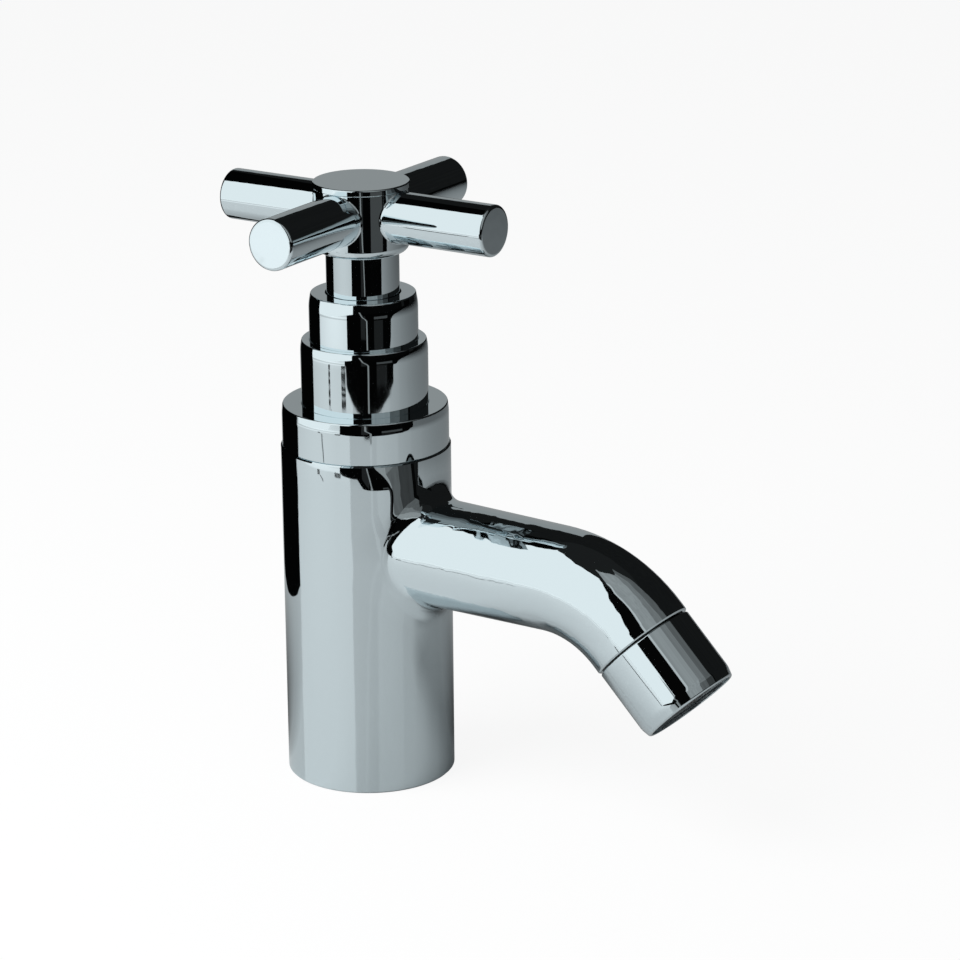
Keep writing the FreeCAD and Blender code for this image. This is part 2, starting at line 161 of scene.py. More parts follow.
# %% Finishes: the common part
class Finish(Nodes):
    """A material or world with an output, ready for its shader."""

    def __init__(self, owner):
        owner.use_nodes = True
        super().__init__(owner.node_tree)
        kind = "World" if isinstance(owner, bpy.types.World) else "Material"
        self.output = self.nodes.new("ShaderNodeOutput" + kind)

    def place(self):
        """Object coordinates in metres."""
        return self.add("ShaderNodeTexCoord", out=3)

    def from_axis(self):
        """Distance from the tap's upright axis, and the height."""
        x, y, z = self.place().split()
        return (x * x + y * y) ** 0.5, z

    def noise(self, scale, detail=2.0, roughness=0.5, at=None):
        return self.add("ShaderNodeTexNoise", None, at or self.place(),
                        Scale=scale, Detail=detail, Roughness=roughness)

    def bump(self, height, metres=1.0, onto=None):
        """Relief: the height is multiplied by a distance in metres."""
        return self.add("ShaderNodeBump", None,
                        Strength=1.0, Distance=metres, Height=height, Normal=onto)

    def blend(self, amount, low, high):
        """A colour between two, through a Mix node."""
        mix = self.add("ShaderNodeMix", {"data_type": "RGBA"}, amount, out=2)
        for index, colour in ((6, low), (7, high)):
            mix.socket.node.inputs[index].default_value = (*colour, 1)
        return mix

    def surface(self, **inputs):
        shader = self.add("ShaderNodeBsdfPrincipled", None, **inputs)
        self.finish(shader)

    def finish(self, shader):
        self.links.new(shader.socket, self.output.inputs["Surface"])


def new_finish(name):
    material = bpy.data.materials.new(name)
    return material, Finish(material)


print("finish helper ready")

# %% [markdown]
# ## Chrome plate
# Chrome has almost no colour of its own: a cool tint, a very low roughness, and what
# the polishing wheel left. On the turned rings the wheel left nearly nothing. The body
# and spout are a casting, filed and buffed by hand, so their surface rolls by a few
# hundredths of a millimetre over a centimetre or so, and every reflected edge wanders.
# A flat mirror material would look like plastic foil, so the slow roll, the hair-fine
# scratches and a few drier patches are all in the nodes.

# %% Chrome
CHROME_TINT = (0.72, 0.81, 0.845)
# A dark colour for painted shade, blended into the chrome where a groove should look shaded.
GROOVE_SHADE = (0.03, 0.032, 0.032)
CLEAN_ROUGHNESS = 0.016
SCRATCH_DEPTH = 0.00000015
TURNED_ROLL = 0.00004
BAR_ROLL = 0.00007


def chrome(finish, roll, onto=None, shade_and_dull=0.0):
    """Chrome over a slow roll whose height is given in metres, darkened with painted shade and
    dulled where asked.
    """
    patches = finish.noise(90.0, 3.0)
    scratches = finish.noise(2600.0)
    rolled = finish.bump(roll, onto=onto)
    fine = finish.bump(scratches, SCRATCH_DEPTH, onto=rolled)
    tint = finish.blend(shade_and_dull, CHROME_TINT, GROOVE_SHADE) if shade_and_dull else (*CHROME_TINT, 1)
    roughness = CLEAN_ROUGHNESS + 0.05 * patches * scratches + shade_and_dull * 0.4
    finish.surface(Base_Color=tint, Metallic=1.0, Roughness=roughness, Normal=fine)


turned_chrome, finish = new_finish("turned_chrome")
chrome(finish, finish.noise(85.0, 1.0) * TURNED_ROLL)

bar_chrome, finish = new_finish("bar_chrome")
chrome(finish, finish.noise(105.0, 2.0) * BAR_ROLL)
print("turned and bar chrome made")

# %% [markdown]
# The casting's finish has four parts. The upright was buffed with the collar off, so
# its top edge is rolled over: the last 5 mm lean in by up to 4 degrees, which shows as
# dark patches under the seam. The spout rolls more than the upright. The wall swells a
# little round the root of the spout, beyond the CAD fillet. And the inlet has its
# thread, which only shows from below: a helix on the wall of the bore, 14 threads to
# the inch. All of these are heights in metres.
#
# Above the root, on its -Y side, the wheel left two places that face a little upwards:
# a dish between the spout and the seam, and a narrow strip beside it. They have sharp
# edges and hardly any depth, so they are no relief. The normal itself is leaned there
# by Vector Math, and the relief is laid on top.

# %% Cast chrome
SEAM_HEIGHT = 0.0893
ROLL_OVER = 0.0055
ROLL_DEPTH = 0.0002
UPRIGHT_ROLL = 0.00004
SPOUT_ROLL = 0.00022
SPOUT_HEIGHT = 0.0633
SWELL_HEIGHT = 0.00035
THREAD_PITCH = 0.001814
THREAD_DEPTH = 0.0009
INLET_RADIUS = 0.0096
INLET_LENGTH = 0.0149

cast_chrome, finish = new_finish("cast_chrome")
radius, height = finish.from_axis()
on_spout = radius.ramp(0.0225, 0.0345)
hand_roll = finish.noise(100.0, 2.0) * (UPRIGHT_ROLL + SPOUT_ROLL * on_spout)
towards_seam = height.ramp(SEAM_HEIGHT - ROLL_OVER, SEAM_HEIGHT)
rolled_edge = -ROLL_DEPTH * towards_seam * towards_seam

x, y, z = finish.place().split()
in_front = x.ramp(0.0, 0.004) * (1 - on_spout)
from_spout = (y * y + (z - SPOUT_HEIGHT) * (z - SPOUT_HEIGHT)) ** 0.5
near_root = from_spout.ramp(0.0210, 0.0155)
swell = SWELL_HEIGHT * near_root * near_root * in_front

aside = 0 - y
flare = z.ramp(0.081, 0.089)
outer = 0.0130 + 0.0032 * flare * flare
inner = 0.0065 - 0.0045 * z.ramp(0.083, 0.080)
dish = (outer - aside).ramp(-0.0006, 0.0006) * (aside - inner).ramp(-0.00025, 0.00025)
dish = dish * z.ramp(0.0745, 0.0765)
strip = z.ramp(0.0826, 0.0836) * aside.ramp(0.0190, 0.0160) * aside.ramp(0.0122, 0.0132)
strip = strip * (1 - dish)
lean = finish.vector(0.0, 0.18 * dish, 0.36 * dish + 0.12 * strip)
own_normal = finish.add("ShaderNodeNewGeometry", None, out=1)
leaned = finish.add("ShaderNodeVectorMath", {"operation": "MULTIPLY_ADD"},
                    lean, finish.vector(in_front, in_front, in_front), own_normal)
leaned = finish.add("ShaderNodeVectorMath", {"operation": "NORMALIZE"}, leaned)

turn = y.maths("ARCTAN2", y, x) / (2 * math.pi)
thread = turn.maths("PINGPONG", z / THREAD_PITCH - turn, 0.5)
in_bore = radius.maths("LESS_THAN", radius, INLET_RADIUS) * z.maths("LESS_THAN", z, INLET_LENGTH)
threaded = finish.bump(thread * in_bore, THREAD_DEPTH, onto=leaned)
chrome(finish, hand_roll + rolled_edge + swell, onto=threaded)
print("cast chrome made")

# %% [markdown]
# ## The finishes inside and below
# These parts are hidden at rest, but the tap comes apart, and the base and the outlet
# are seen from below. Brass off the lathe has fine rings and a warm, uneven colour.
# Rubber is nearly black, with a dry bloom. Fibre is pressed red-brown paper. The
# outlet is moulded plastic with a fine grain. The screen and the screw are steel.

# %% Brass, rubber, fibre, plastic and steel
machined_brass, finish = new_finish("machined_brass")
radius, height = finish.from_axis()
rings = finish.add("ShaderNodeTexNoise", {"noise_dimensions": "1D"},
                   W=(radius + height) * 6000.0, Detail=3.0)
stain = finish.noise(160.0, 4.0)
finish.surface(Base_Color=finish.blend(stain, (0.78, 0.60, 0.32), (0.62, 0.45, 0.22)),
               Metallic=1.0, Roughness=0.2 + 0.2 * stain, Normal=finish.bump(rings, 0.000004))

black_rubber, finish = new_finish("black_rubber")
bloom = finish.noise(220.0, 5.0, 0.6)
skin = finish.noise(2200.0, 3.0)
finish.surface(Base_Color=finish.blend(bloom, (0.018, 0.018, 0.019), (0.045, 0.044, 0.042)),
               Roughness=0.62 + 0.25 * bloom, Normal=finish.bump(skin, 0.00001))

pressed_fibre, finish = new_finish("pressed_fibre")
x, y, z = finish.place().split()
strands = finish.noise(1.0, 5.0, 0.7, at=finish.vector(x * 700.0, y * 2400.0, z * 3000.0))
finish.surface(Base_Color=finish.blend(strands, (0.34, 0.10, 0.07), (0.62, 0.27, 0.18)),
               Roughness=0.75 + 0.2 * strands, Normal=finish.bump(strands, 0.00002))

grey_plastic, finish = new_finish("grey_plastic")
grain = finish.noise(5200.0, 2.0)
flow = finish.noise(130.0, 2.0)
finish.surface(Base_Color=finish.blend(flow, (0.105, 0.110, 0.113), (0.145, 0.150, 0.153)),
               Roughness=0.38 + 0.15 * grain, Normal=finish.bump(grain, 0.000006))

drawn_steel, finish = new_finish("drawn_steel")
x, y, z = finish.place().split()
drawn = finish.noise(1.0, 3.0, at=finish.vector(x * 9000.0, y * 900.0, z * 9000.0))
finish.surface(Base_Color=finish.blend(drawn, (0.60, 0.61, 0.62), (0.50, 0.51, 0.52)),
               Metallic=1.0, Roughness=0.24 + 0.15 * drawn, Normal=finish.bump(drawn, 0.0000015))

FINISH_OF = {"polished_chrome": turned_chrome, "machined_brass": machined_brass,
             "black_rubber": black_rubber, "fibre": pressed_fibre, "grey_plastic": grey_plastic,
             "steel_mesh": drawn_steel, "steel": drawn_steel}
print(len(FINISH_OF), "finishes made")

# %% Dress the CAD nodes
slot_of = {part["node"]: part["material_slot"] for part in frame["record"]["subparts"]}
for name, node in frame["nodes"].items():
    node.data.materials.clear()
    node.data.materials.append(cast_chrome if name == "tap_body" else FINISH_OF[slot_of[name]])
print("dressed", len(slot_of), "nodes")

# %% [markdown]
# ## Turned parts
# The collar, the covers, the skirt, the hub, the cap and the outlet's shell all come
# off a lathe: one outline, turned about an axis. Their edges are the whole point on
# chrome. A sharp corner reflects nothing, while a corner rounded by a third of a
# millimetre catches a bright line. So each outline is written as corners with a
# rounding, and the rounding becomes a small arc. A point 0.02 mm beyond each end of an
# arc holds the flat faces flat where the shading is smooth.

# %% Outlines with rounded corners
HOLD = 0.02  # millimetres from the end of a rounding to the point that holds the face


def outline(corners, closed=True, steps=6):
    """Points in metres from (radius, height) corners in mm, each with an optional rounding."""
    points = []
    count = len(corners)
    for i, (r, z, *rounding) in enumerate(corners):
        here = Vector((r, z))
        if not closed and i in (0, count - 1):
            points.append(here)
            continue
        before = Vector(corners[i - 1][:2]) - here
        after = Vector(corners[(i + 1) % count][:2]) - here
        reach = 0.0
        if rounding:
            half = before.angle(after) / 2
            reach = rounding[0] / math.tan(half)
            inwards = (before.normalized() + after.normalized()).normalized()
            middle = here + inwards * rounding[0] / math.sin(half)
            start = here + before.normalized() * reach - middle
            sweep = start.angle_signed(here + after.normalized() * reach - middle)
            arc = [middle + Matrix.Rotation(-sweep * k / steps, 2) @ start
                   for k in range(steps + 1)]
        else:
            arc = [here]
        points.append(here + before.normalized() * (reach + HOLD))
        points += arc
        points.append(here + after.normalized() * (reach + HOLD))
    if closed:
        points.append(points[0])
    mesh = bpy.data.meshes.new("outline")
    places = [(max(p.x, 0) / 1000, 0, p.y / 1000) for p in points]
    mesh.from_pydata(places, [(i, i + 1) for i in range(len(points) - 1)], [])
    return mesh


washer = outline([(5, 0), (9, 0, 0.5), (9, 2), (5, 2)])
print("outline of a washer has", len(washer.vertices), "points")

# %% [markdown]
# The turning itself is a Geometry Nodes tree, because every turned part follows the
# same rule. A grid has one row for each point of the outline and one column for each
# step round the axis. Each grid point looks up its outline point, and is turned about
# the axis by its column. Merging closes the seam and the poles.

# %% Geometry Nodes helpers
MERGE_DISTANCE = 0.000001


class Form(Nodes):
    """A Geometry Nodes tree with named inputs, which ends in Realize Instances and Set Material."""

    def __init__(self, name, **inputs):
        self.group = bpy.data.node_groups.new(name, "GeometryNodeTree")
        super().__init__(self.group)
        face = self.group.interface
        for label, kind in {"Geometry": "Geometry", **inputs, "Finish": "Material"}.items():
            face.new_socket(name=label.replace("_", " "), in_out="INPUT",
                            socket_type="NodeSocket" + kind)
        self.key = {item.name.replace(" ", "_"): item.identifier for item in face.items_tree}
        face.new_socket(name="Geometry", in_out="OUTPUT", socket_type="NodeSocketGeometry")
        given = self.nodes.new("NodeGroupInput")
        self.given = {socket.name.replace(" ", "_"): Wire(self, socket)
                      for socket in given.outputs if socket.name}

    def finish(self, geometry):
        real = self.add("GeometryNodeRealizeInstances", None, geometry)
        dressed = self.add("GeometryNodeSetMaterial", None, real, Material=self.given["Finish"])
        output = self.nodes.new("NodeGroupOutput")
        self.links.new(dressed.socket, output.inputs[0])

    def position(self):
        return self.add("GeometryNodeInputPosition")

    def turned(self, line, steps):
        """Turn an outline about the Z axis."""
        rows = self.add("GeometryNodeAttributeDomainSize", {"component": "MESH"}, line)
        grid = self.add("GeometryNodeMeshGrid", None, 1.0, 1.0, rows, steps + 1)
        number = self.add("GeometryNodeInputIndex")
        row = ((number + 0.5) / (steps + 1)).floored()
        column = number - row * (steps + 1)
        point = self.add("GeometryNodeSampleIndex", {"data_type": "FLOAT_VECTOR"},
                         line, self.position(), row)
        place = self.add("ShaderNodeVectorRotate", {"rotation_type": "Z_AXIS"},
                         point, Angle=column / steps * (2 * math.pi))
        bent = self.add("GeometryNodeSetPosition", None, grid, Position=place)
        return self.add("GeometryNodeMergeByDistance", None, bent, Distance=MERGE_DISTANCE)


def grow(name, form, seed, finish, where=None, **sizes):
    """Run a tree on a seed mesh and keep the result as a plain piece at the origin."""
    grower = bpy.data.objects.new(name + "_seed", seed)
    bpy.context.scene.collection.objects.link(grower)
    modifier = grower.modifiers.new("form", "NODES")
    modifier.node_group = form.group
    for label, value in {**sizes, "Finish": finish}.items():
        modifier[form.key[label]] = value
    grown = grower.evaluated_get(bpy.context.evaluated_depsgraph_get())
    mesh = bpy.data.meshes.new_from_object(grown)
    bpy.data.objects.remove(grower)
    if where:
        mesh.transform(where)
    shell = bmesh.new()
    shell.from_mesh(mesh)
    bmesh.ops.recalc_face_normals(shell, faces=shell.faces)
    closed = all(len(edge.link_faces) == 2 for edge in shell.edges)
    shell.to_mesh(mesh)
    shell.free()
    mesh.shade_smooth()
    mesh.name = name
    piece = bpy.data.objects.new(name, mesh)
    bpy.context.scene.collection.objects.link(piece)
    print(name, len(mesh.polygons), "faces,", "closed" if closed else "open")
    return piece


turned_form = Form("turned_part", Steps_round="Int")
given = turned_form.given
turned_form.finish(turned_form.turned(given["Geometry"], given["Steps_round"]))
print("turned_part tree has", len(turned_form.nodes), "nodes")

# %% [markdown]
# ## The collar and the stepped covers
# Each outline repeats the levels and radii of the CAD solid that it stands for, so the
# piece fills the same space. Polishing has rolled the top edges in by a quarter to half
# a millimetre, most of all on the upper cover. That is why the dark reflections widen
# towards the top of each step. A rounding of 12 or 14 mm makes the roll. The skirt and
# everything above it turn with the handle.

# %% Collar, covers and skirt
def stand_in(piece, node, body):
    """The piece takes a CAD node's place and body."""
    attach(piece, body)
    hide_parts(node)


COLLAR = [(15.03, 89.3), (21.55, 89.3, 0.3), (21.55, 97.9, 12.0), (21.3, 100.25, 0.4),
          (16.45, 100.25, 0.12), (16.45, 96.5), (15.03, 96.5)]
LOWER_COVER = [(14.9, 96.5), (16.4, 96.5), (16.4, 115.3, 12.0), (16.04, 117.1, 0.35),
               (14.05, 117.1, 0.1), (14.05, 115.1), (14.9, 115.1)]
UPPER_COVER = [(12.5, 103.0), (14.0, 103.0), (14.0, 126.6, 14.0), (13.5, 129.4, 0.4),
               (9.75, 129.4, 0.1), (9.75, 127.4), (12.5, 127.4)]
skirt_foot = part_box("handle_skirt")[0][2] * 1000
SKIRT = [(7.8, skirt_foot), (9.4, skirt_foot, 0.3), (9.4, 140.2), (7.0, 140.2), (7.0, 142.7),
         (4.55, 142.7), (4.55, 137.7), (7.8, 137.7)]

for node, corners, steps, body in [("collar_ring", COLLAR, 160, "tap"),
                                   ("lower_sleeve", LOWER_COVER, 144, "tap"),
                                   ("upper_sleeve", UPPER_COVER, 144, "tap"),
                                   ("handle_skirt", SKIRT, 112, "handle")]:
    piece = grow("turned_" + node, turned_form, outline(corners), turned_chrome, Steps_round=steps)
    stand_in(piece, node, body)

# %% [markdown]
# ## Hub and cap
# The hub's lower edge is rounded by 2.2 mm. The cap is a separate flat disc, a little
# wider than the hub, with a plug below that carries the O-ring. Its face stays bare.

# %% Hub and cap
HUB = [(3.95, 142.8), (7.05, 142.8), (7.05, 140.2), (12.1, 140.2, 2.2), (12.1, 156.9, 0.15),
       (5.5, 156.9), (5.5, 149.5), (3.95, 149.5)]
CAP = [(0, 153.5), (5.4, 153.5), (5.4, 154.6), (4.3, 154.6), (4.3, 155.8), (5.4, 155.8),
       (5.4, 156.9), (12.33, 156.9, 0.12), (12.33, 158.45, 0.35), (0, 158.45)]
hub = grow("turned_hub", turned_form, outline(HUB, steps=8), turned_chrome, Steps_round=144)
cap = grow("turned_cap", turned_form, outline(CAP, closed=False), turned_chrome, Steps_round=144)
stand_in(hub, "handle_hub", "handle")
stand_in(cap, "handle_cap", "handle")

# %% [markdown]
# ## The cross
# Four equal round bars stand out of the hub, so the cross is one tree too. A bar is
# turned from its outline and laid along +X. Its inner end is then pushed on to the
# hub: a point at a distance y from the bar's middle plane moves out to where the hub's
# wall is there, the root of hub radius squared less y squared. The push fades out along
# the bar. The bar widens a little at its root, as the buffed joint does, but stays
# under the cap. Last, the bar is repeated round the axis.

# %% The cross of four arms
PUSH_LENGTH = 0.012

cross_form = Form("cross", Steps_round="Int", Arms="Int", First_arm="Float", Height="Float",
                  Hub_radius="Float", Bar_start="Float", Top_limit="Float")
given = cross_form.given
bar = cross_form.turned(given["Geometry"], given["Steps_round"])
bar = cross_form.add("GeometryNodeTransform", None, bar, Rotation=(0, math.pi / 2, 0))
x, y, z = cross_form.position().split()
saddle = (given["Hub_radius"] * given["Hub_radius"] - y * y) ** 0.5
fade = 1 - ((x - given["Bar_start"]) / PUSH_LENGTH).clamped()
push = (saddle - given["Bar_start"]) * fade * fade
low = z.maths("MINIMUM", z, given["Top_limit"])
bar = cross_form.add("GeometryNodeSetPosition", None, bar,
                     Position=cross_form.vector(x + push, y, low))
hub_middle = cross_form.vector(0.0, 0.0, given["Height"])
centres = cross_form.add("GeometryNodePoints", None, given["Arms"], hub_middle)
number = cross_form.add("GeometryNodeInputIndex")
bearing = given["First_arm"] + number * (2 * math.pi) / given["Arms"]
cross_form.finish(cross_form.add("GeometryNodeInstanceOnPoints", None, centres, Instance=bar,
                                 Rotation=cross_form.vector(0.0, 0.0, bearing)))

BAR_START = 9.0
BAR_END = 39.95
BAR_RADIUS = 6.6
ROOT_FLARE = [(7.1, 0), (6.88, 0.12), (6.72, 0.3), (6.63, 0.55), (BAR_RADIUS, 0.9)]
ARM = [*[(r, BAR_START) for r in (0, 1.8, 3.6, 5.2, 6.4)],
       *[(r, BAR_START + along) for r, along in ROOT_FLARE],
       *[(BAR_RADIUS, BAR_START + along) for along in (2.5, 4.5, 7, 10, 14)],
       (BAR_RADIUS, BAR_END, 0.8), (0, BAR_END)]
arms = grow("cross_arms", cross_form, outline(ARM, closed=False), bar_chrome, Steps_round=96,
            Arms=4, First_arm=math.radians(2.2), Height=0.1502, Hub_radius=0.01205,
            Bar_start=BAR_START / 1000, Top_limit=0.00664)
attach(arms, "handle")
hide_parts("handle_arm_1", "handle_arm_2", "handle_arm_3", "handle_arm_4")

# %% [markdown]
# ## The outlet
# The spout turns down by 45 degrees, and the outlet's shell screws into its end. The
# shell is turned upright and then laid on the spout's end with one matrix. Its outside
# starts half a millimetre below the spout, on a narrower neck that is rougher and painted
# dark as shade. That groove is the dark line of the seam. Its mouth is thin, with a soft outer
# edge.

# %% Outlet shell
SPOUT_RUN = 0.0587
SPOUT_TAIL = 0.0024
BEND_RADIUS = 0.0345
BEND = math.radians(45)
GROOVE_END = 0.0004

spout_way = Vector((math.cos(BEND), 0, -math.sin(BEND)))
bend_middle = Vector((SPOUT_RUN, 0, SPOUT_HEIGHT - BEND_RADIUS))
bend_end = bend_middle + BEND_RADIUS * Vector((math.sin(BEND), 0, math.cos(BEND)))
spout_end = bend_end + SPOUT_TAIL * spout_way
turned_down = Vector((0, 0, 1)).rotation_difference(spout_way).to_matrix().to_4x4()
on_spout_end = Matrix.Translation(spout_end) @ turned_down

shell_chrome, finish = new_finish("shell_chrome")
x, y, z = finish.place().split()
along = (x - spout_end.x) * spout_way.x + (z - spout_end.z) * spout_way.z
# Painted shade on the neck's groove: its colour is darkened there, and its roughness raised.
painted_groove_shade = along.maths("LESS_THAN", along, GROOVE_END)
chrome(finish, finish.noise(85.0, 1.0) * TURNED_ROLL, shade_and_dull=painted_groove_shade)

SHELL = [(9.65, -7), (11.95, -7), (11.95, 0), (12.4, 0), (12.4, 0.5), (13.35, 0.5, 0.3),
         (13.35, 17.4, 6.0), (12.7, 20, 0.7), (11.9, 20, 0.2), (11.9, 4), (9.65, 4)]
shell = grow("outlet_shell", turned_form, outline(SHELL), shell_chrome, on_spout_end,
             Steps_round=144)
stand_in(shell, "aerator_shell", "tap")
print("spout ends at", [round(v * 1000, 2) for v in spout_end])

# %% [markdown]
# The outlet's face has 37 jets in a hexagon, three rings round the middle one. Each
# jet has a small raised lip, so that the water leaves it cleanly. Repeating a lip over
# a hexagon is a rule: the points of a square of numbers q and r are placed on two axes
# at 60 degrees, and the ones with |q + r| beyond the last ring are left out.

# %% Jet lips
jets_form = Form("jet_lips", Steps_round="Int", Rings="Int", Pitch="Float", Height="Float")
given = jets_form.given
lip = jets_form.turned(given["Geometry"], given["Steps_round"])
rings = given["Rings"] + 0.0
side = 2 * rings + 1
number = jets_form.add("GeometryNodeInputIndex")
row = ((number + 0.5) / side).floored()
q, r = row - rings, number - row * side - rings
pitch = given["Pitch"]
place = jets_form.vector(pitch * (q + r / 2), pitch * r * math.sqrt(0.75), given["Height"])
points = jets_form.add("GeometryNodePoints", None, side * side, place)
outside = jets_form.add("FunctionNodeCompare", {"operation": "GREATER_THAN"},
                        (q + r).size(), rings + 0.5)
points = jets_form.add("GeometryNodeDeleteGeometry", {"domain": "POINT"}, points, outside)
jets_form.finish(jets_form.add("GeometryNodeInstanceOnPoints", None, points, Instance=lip))

LIP = [(0.95, -0.3), (1.25, -0.3), (1.25, 0.3), (0.95, 0.3)]
lips = grow("jet_lips", jets_form, outline(LIP), grey_plastic, on_spout_end, Steps_round=16,
            Rings=3, Pitch=0.0028, Height=0.0186)
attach(lips, "tap")

# %% [markdown]
# ## The camera
# The photograph was taken from the front left, 18 degrees above the base, with a long
# lens. These numbers come from a camera fitted to the outlines of the solids.

# %% Camera
VIEW_AZIMUTH = -55.257
VIEW_ELEVATION = 18.093
VIEW_ROLL = -0.495
VIEW_DISTANCE = 0.927565
VIEW_AIM = Vector((0, 0, 0.075))
SHIFT_RIGHT = 0.029371  # metres that the camera moves aside, to place the tap in the frame
SHIFT_UP = 0.003542
FOCAL_PIXELS = 3571.3
PICTURE_PIXELS = 960
SENSOR_WIDTH = 36


def facing(azimuth, elevation):
    """Unit vector from the tap towards a direction, in degrees."""
    a, e = math.radians(azimuth), math.radians(elevation)
    return Vector((math.cos(a) * math.cos(e), math.sin(a) * math.cos(e), math.sin(e)))


back = facing(VIEW_AZIMUTH, VIEW_ELEVATION)
level = back.cross(Vector((0, 0, -1))).normalized()
tilt = Quaternion(back, math.radians(VIEW_ROLL))
right = tilt @ level
up = back.cross(right)
camera = bpy.data.objects.new("camera", bpy.data.cameras.new("camera"))
bpy.context.scene.collection.objects.link(camera)
stand = VIEW_AIM + back * VIEW_DISTANCE + right * SHIFT_RIGHT + up * SHIFT_UP
axes = Matrix((right, up, back)).transposed().to_4x4()
camera.matrix_world = Matrix.Translation(stand) @ axes
camera.data.sensor_width = SENSOR_WIDTH
camera.data.lens = FOCAL_PIXELS / PICTURE_PIXELS * SENSOR_WIDTH
camera.data.clip_start = 0.01
camera.data.clip_end = 50
bpy.context.scene.camera = camera
print("camera at", [round(v, 4) for v in camera.matrix_world.translation])

# %% [markdown]
# ## The studio that the chrome shows
# A chrome part is a map of the room round it. Here the room was read back from the
# part: for many points of the chrome, the mirrored line of sight says which direction
# each tone of the photograph comes from. That gives a tall white board on the left, a
# black card close behind on the left, a grey card behind, and a grey cloth overhead on
# the right, whose near hem is paler and whose foot is darker. The table ends in front
# of the tap in a curved edge, with a dark room beyond it. A few patches of the room's
# floor are less dark, and a narrow leaning strip stands at the edge, which is the thin
# light line in every dark patch. A joint and some marks lie on the table.
#
# The boards glow with painted light and are seen by mirror rays only. They are no light on
# the matt floor, throw no shadow and never show in the picture, so the plain white surroundings
# stay plain.

# %% Boards
TAP_MIDDLE = 0.1


def around(azimuth, distance, height):
    """A point by its angle round the tap from the camera's side, its distance and its height."""
    return facing(VIEW_AZIMUTH + azimuth, 0) * distance + Vector((0, 0, height))


def skyward(azimuth, elevation, reach):
    """A point by its direction from the middle of the tap."""
    return facing(VIEW_AZIMUTH + azimuth, elevation) * reach + Vector((0, 0, TAP_MIDDLE))


def tone(name, level, uneven=0.0):
    """A sheet that glows at a grey level, with soft folds where it is cloth: the glow is painted
    light, as no lamp lights the sheet.
    """
    material, finish = new_finish(name)
    x, y, z = finish.place().split()
    folds = finish.noise(1.0, 3.0, at=finish.vector(x * 9.0, y * 9.0, z * 2.5))
    low, high = level * (1 - uneven), level * (1 + uneven)
    colour = finish.blend(folds, (0.97 * low, low, low), (0.97 * high, high, high))
    finish.finish(finish.add("ShaderNodeEmission", None, colour, 1.0))
    material.cycles.emission_sampling = "NONE"
    return material


def board(name, rows, material):
    """A sheet through rows of points, seen in reflections only."""
    wide = len(rows[0])
    faces = [(i * wide + j, i * wide + j + 1, (i + 1) * wide + j + 1, (i + 1) * wide + j)
             for i in range(len(rows) - 1) for j in range(wide - 1)]
    mesh = bpy.data.meshes.new(name)
    mesh.from_pydata([tuple(p) for row in rows for p in row], [], faces)
    mesh.materials.append(material)
    sheet = bpy.data.objects.new(name, mesh)
    bpy.context.scene.collection.objects.link(sheet)
    sheet.visible_camera = False
    sheet.visible_diffuse = False
    sheet.visible_shadow = False


dark_room = tone("dark_room", 0.002)
black_card = tone("black_card", 0.0012)
print("board helpers ready")

# %% The room, and the table's front edge
WALL_REACH = 5.0
WALL_HEIGHT = 9.0
UNDER_TABLE = -0.01
EDGE_LEVEL = 0.0005
PATCH_LEVEL = 0.0008
ALL_ROUND = range(-180, 181, 15)

for name, bearings, material in [("front", range(-150, 91, 15), dark_room),
                                 ("back", range(90, 211, 15), tone("dark_back_wall", 0.009, 0.5))]:
    board("room_walls_" + name, [[around(a, WALL_REACH, z) for a in bearings]
                                 for z in (UNDER_TABLE, WALL_HEIGHT)], material)
board("room_ceiling", [[around(a, d, WALL_HEIGHT) for a in ALL_ROUND] for d in (WALL_REACH, 0.01)],
      tone("dark_ceiling", 0.014))

TABLE_EDGE = [(-33, 0.42), (-30, 0.385), (-24, 0.366), (-15, 0.352), (-8, 0.345), (-3, 0.336),
              (1, 0.331), (7, 0.331), (13, 0.341), (23, 0.345), (31, 0.350), (36, 0.358),
              (42, 0.366), (49, 0.372), (54, 0.382), (52, 0.394), (58, 0.425), (61, 0.46),
              (64, 0.62), (70, 0.9), (90, 1.5), (120, 1.8), (150, 1.8), (180, 1.8)]
board("beyond_table", [[around(a, d, EDGE_LEVEL) for a, d in TABLE_EDGE],
                       [around(a, 4.9, EDGE_LEVEL) for a, d in TABLE_EDGE]], black_card)
for name, bearings, reaches, level in [("right", (23, 32, 42), (0.375, 0.47), 0.015),
                                       ("middle", (-4, 0, 5), (0.44, 1.2), 0.018),
                                       ("far", (23, 38, 52), (0.56, 0.9), 0.066)]:
    board("room_floor_" + name, [[around(a, d, PATCH_LEVEL) for a in bearings] for d in reaches],
          tone("room_floor_" + name, level))

LIGHT_STRIP = [(7.0, 0.0), (7.0, 0.036), (4.0, 0.055), (-2.0, 0.08), (-8.0, 0.14)]
board("light_strip", [[around(a + w, 0.326, z) for w in (0.0, 2.6)] for a, z in LIGHT_STRIP],
      tone("light_strip", 0.26))
print("the table's edge has", len(TABLE_EDGE), "points")

# %% White board and cards
board("white_board", [[around(-102, 0.6, 0.0), around(-60, 0.75, 0.0), around(-20, 3.0, 0.0)],
                      [around(-105, 0.6, 0.3), around(-60, 0.75, 0.4), around(-20, 3.0, 1.2)],
                      [around(-120, 0.6, 1.5), around(-60, 0.75, 1.9), around(-20, 3.0, 6.8)]],
      tone("white_board", 1.0))

BLACK_CARD = [(-99.5, 0.165), (-127, 0.149), (-150, 0.159), (-156, 0.17)]
board("black_card_left", [[around(a, d, z) for a, d in BLACK_CARD] for z in (0.0, 0.6)], black_card)
board("grey_card_back", [[around(a, 0.44, z) for a in (163, 174, 185, 205)] for z in (0.0, 0.375)],
      tone("grey_card_back", 0.31, 0.06))
print("one white board and two cards")

